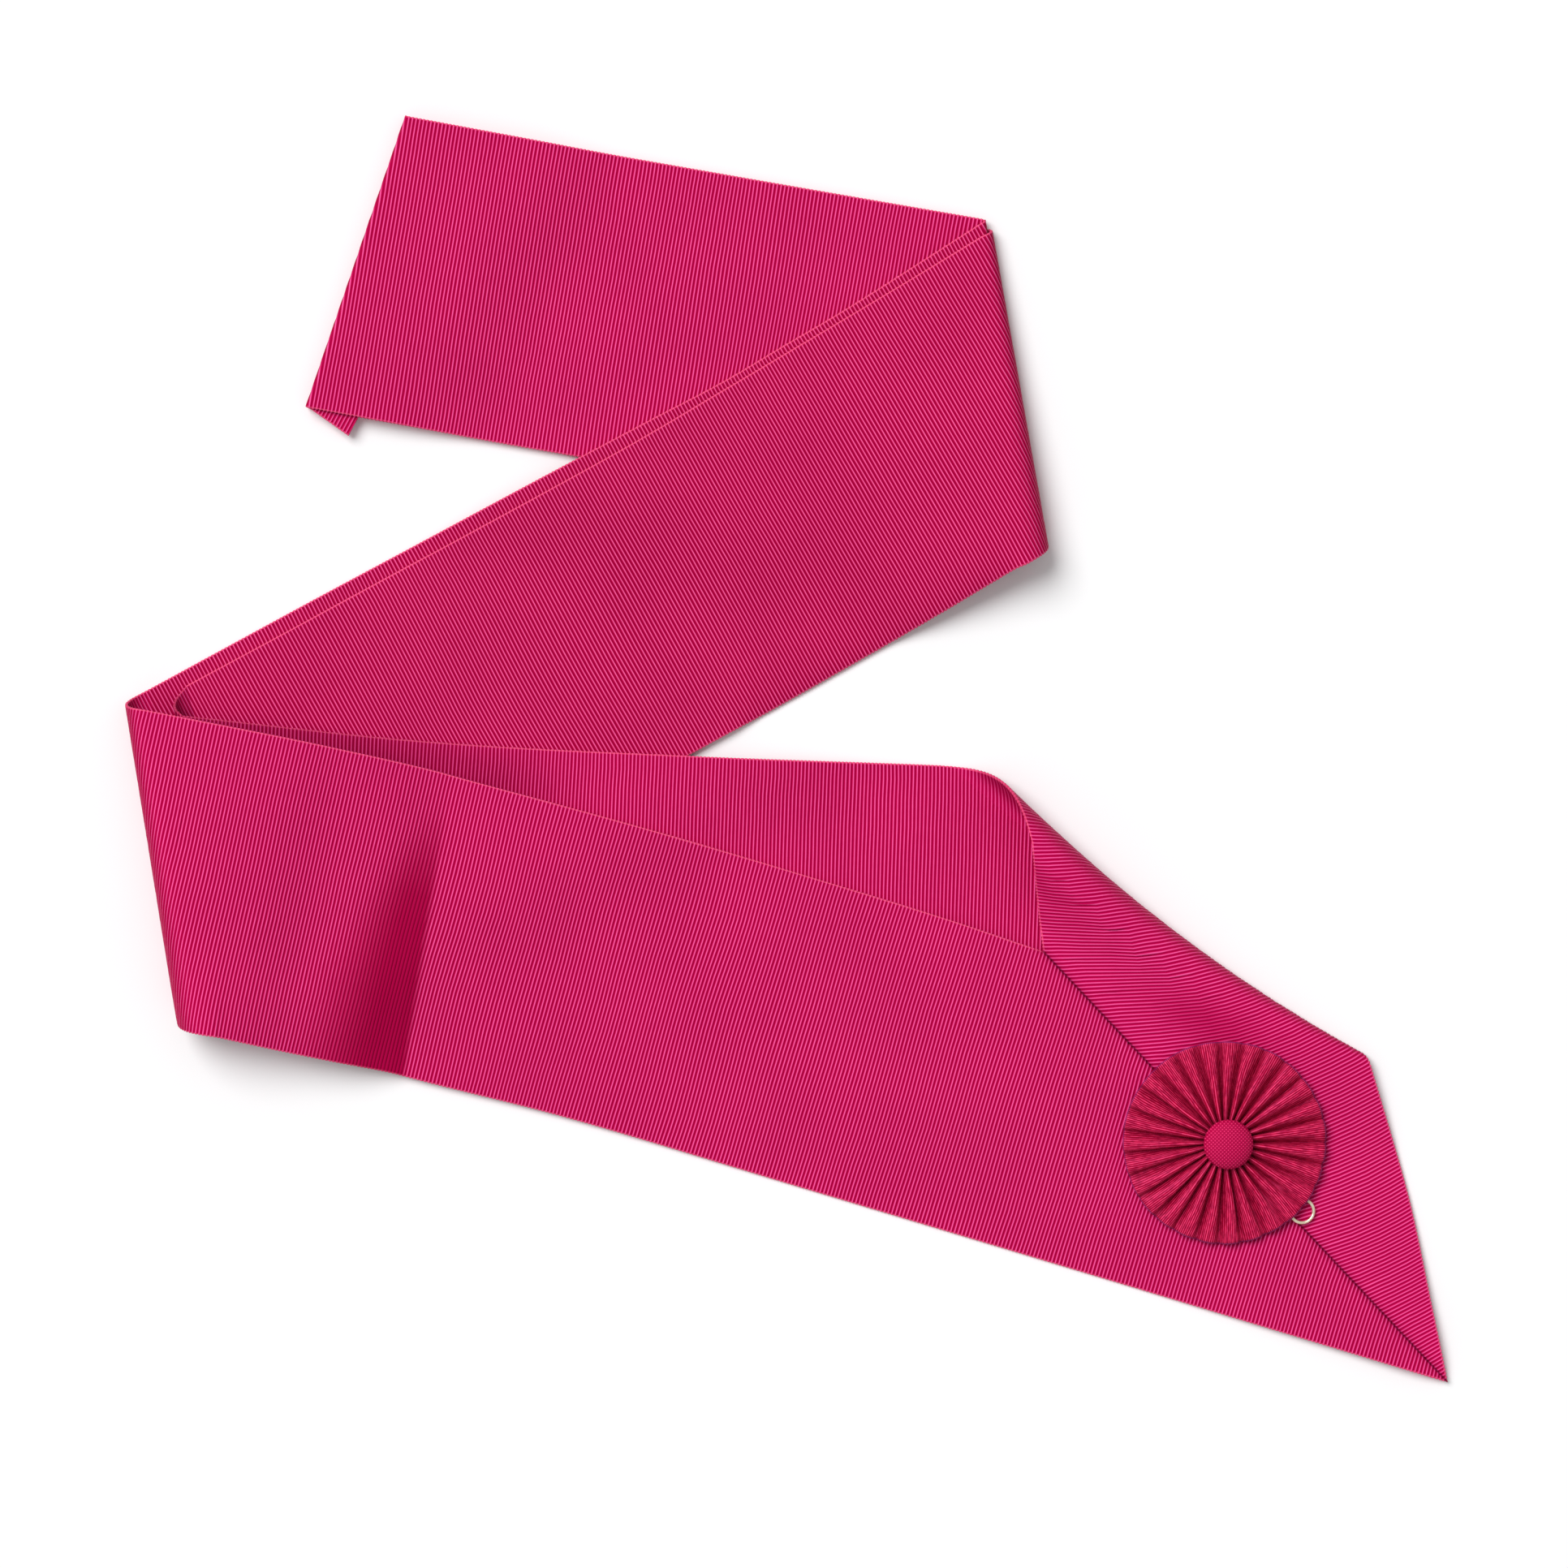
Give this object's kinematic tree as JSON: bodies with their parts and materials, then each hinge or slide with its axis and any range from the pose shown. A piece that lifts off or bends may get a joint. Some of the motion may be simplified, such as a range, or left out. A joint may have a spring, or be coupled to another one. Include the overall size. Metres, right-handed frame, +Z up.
{
  "type": "ceremonial sash",
  "caption": "Wide ribbed ribbon sash, a closed loop laid flat in a zigzag, with a mitred hip seam under a pleated rosette, a covered button and a small ring.",
  "frame": {"origin": "middle of the footprint on the table that the sash lies on", "axes": "+Z up from the table; +Y towards the shoulder seam, the top of the picture; +X to the right of the picture, towards the hip seam"},
  "size_m": [0.44, 0.4217, 0.0214],
  "materials": {
    "ribbon": "ribbed silk with a soft sheen",
    "rosette": "pleated ribbed silk, a little darker",
    "ring": "pale gold, polished wire"
  },
  "bodies": {
    "sash": {"front_hip_band": "ribbon", "front_diagonal": "ribbon", "front_shoulder_band": "ribbon", "back_shoulder_band": "ribbon", "back_diagonal": "ribbon", "back_hip_band": "ribbon", "back_turned_end": "ribbon", "hip_seam_allowance": "ribbon", "ring_stitch": "ribbon", "rosette": "rosette", "rosette_button": "rosette"},
    "ring": {"badge_ring": "ring"}
  },
  "joints": [
    {"name": "ring_swing", "type": "hinge", "parent": "sash", "child": "ring", "pos_m": [0.1696, -0.15226, 0.00364], "axis": [0, 0, 1], "range_deg": [-45, 45]}
  ]
}
